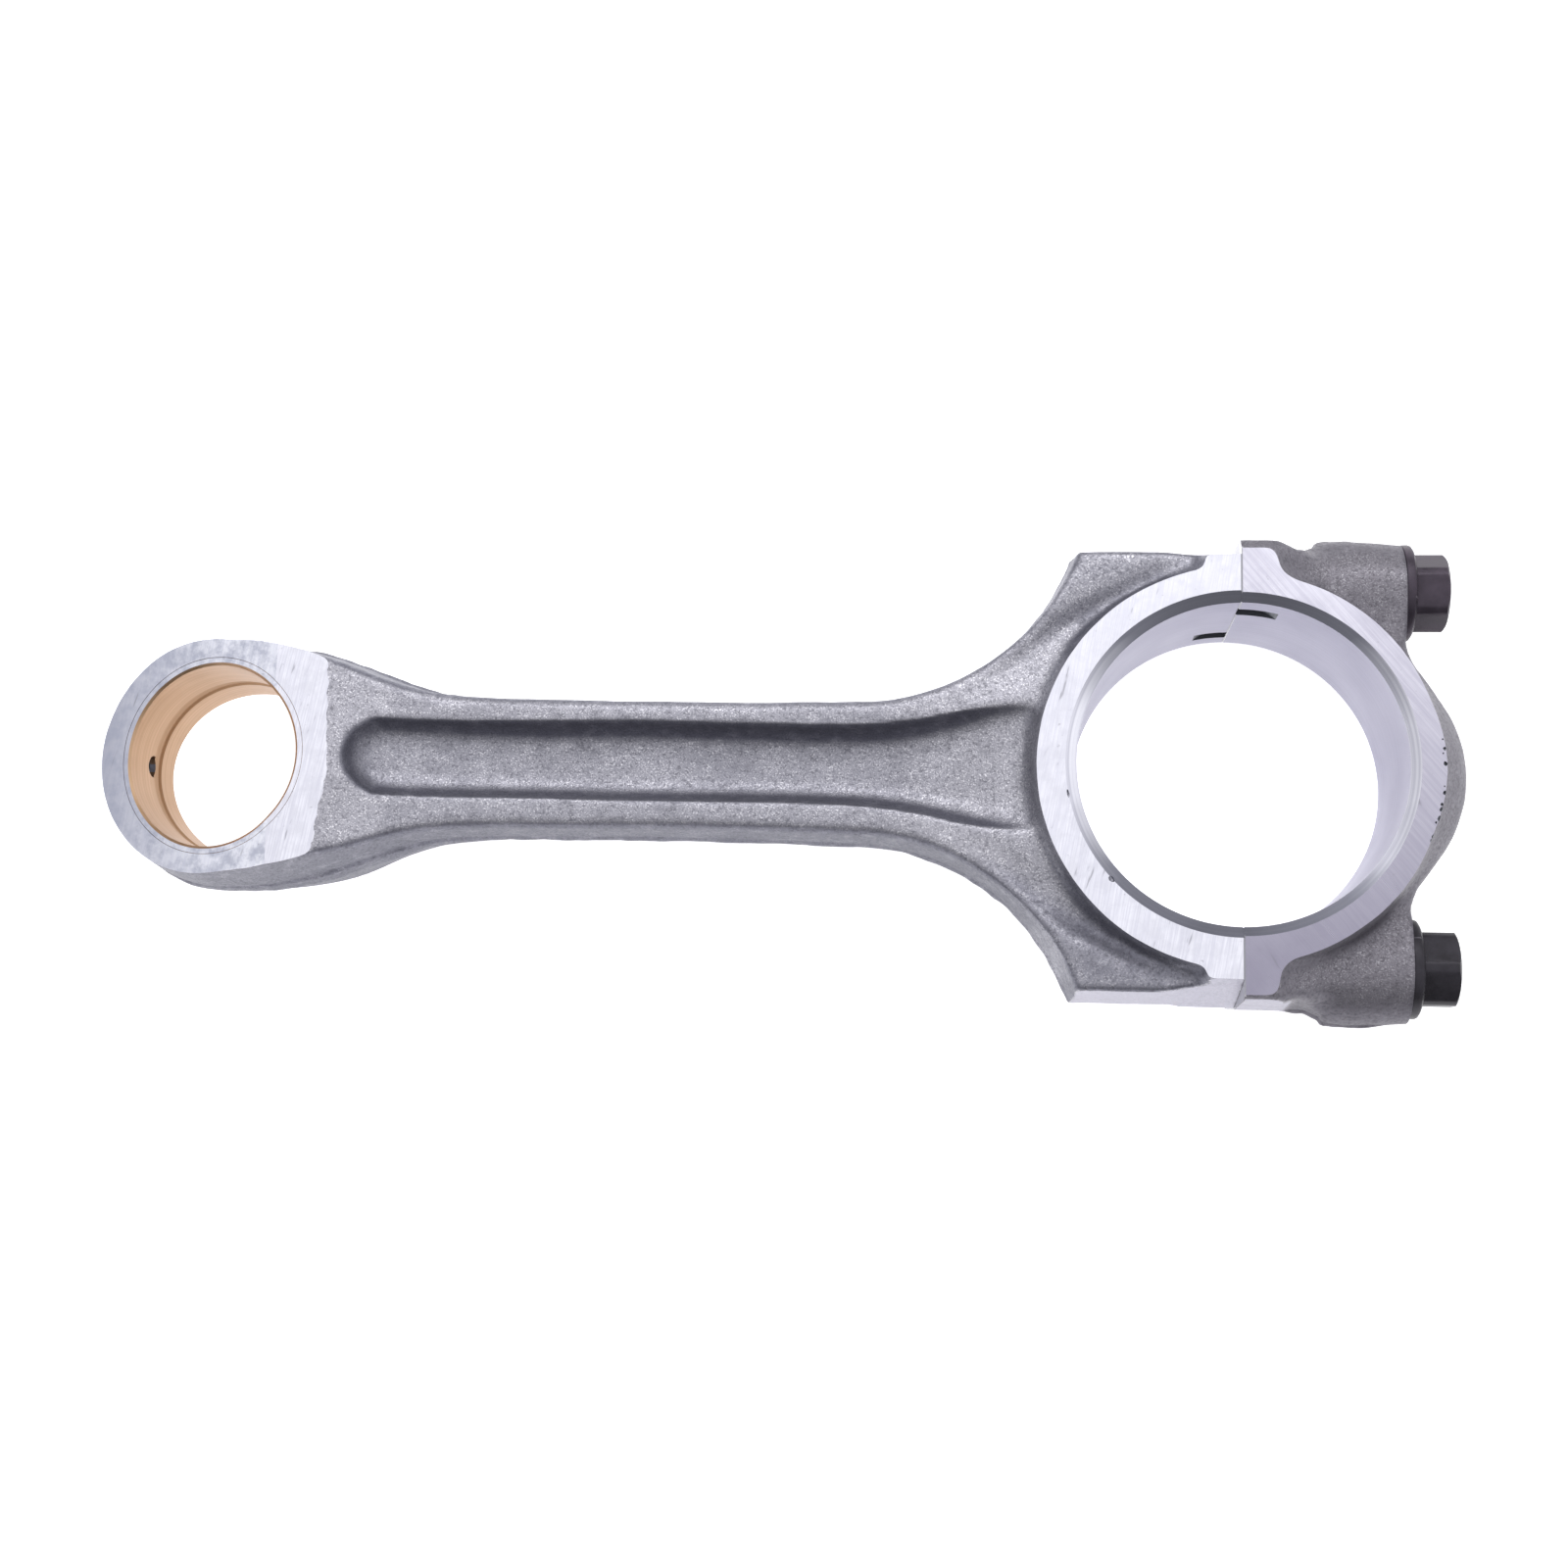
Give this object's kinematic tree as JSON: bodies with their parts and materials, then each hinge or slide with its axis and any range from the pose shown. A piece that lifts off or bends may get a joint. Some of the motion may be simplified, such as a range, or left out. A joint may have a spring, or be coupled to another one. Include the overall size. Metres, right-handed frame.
{
  "type": "connecting rod",
  "caption": "Forged I-beam connecting rod with a wedge-shaped bushed small end and a straight-split big end whose bearing cap is held by flange-head bolts.",
  "frame": {"origin": "centre of the big-end bore at mid-width, on the joint between rod and cap", "axes": "+X from the small end towards the bearing cap, +Z along both bores, +Y across the rod in its plane; the shell tang slots are on the +Y side"},
  "size_m": [0.2948, 0.105, 0.0404],
  "materials": {
    "forged_steel": "shot-blasted forging with machined faces",
    "forged_steel_cap": "shot-blasted forging with machined faces",
    "bronze": "bored, satin",
    "black_steel": "black phosphate"
  },
  "bodies": {
    "rod": {"rod": "forged_steel", "small_end_bush": "bronze"},
    "cap": {"bearing_cap": "forged_steel_cap"},
    "bolt_a": {"bolt_plus_y": "black_steel"},
    "bolt_b": {"bolt_minus_y": "black_steel"}
  },
  "joints": [
    {"name": "cap_off", "type": "slide", "parent": "rod", "child": "cap", "axis": [1, 0, 0], "range_m": [0, 0.07]},
    {"name": "bolt_a_out", "type": "slide", "parent": "cap", "child": "bolt_a", "axis": [1, 0, 0], "range_m": [0, 0.07]},
    {"name": "bolt_b_out", "type": "slide", "parent": "cap", "child": "bolt_b", "axis": [1, 0, 0], "range_m": [0, 0.07]}
  ]
}
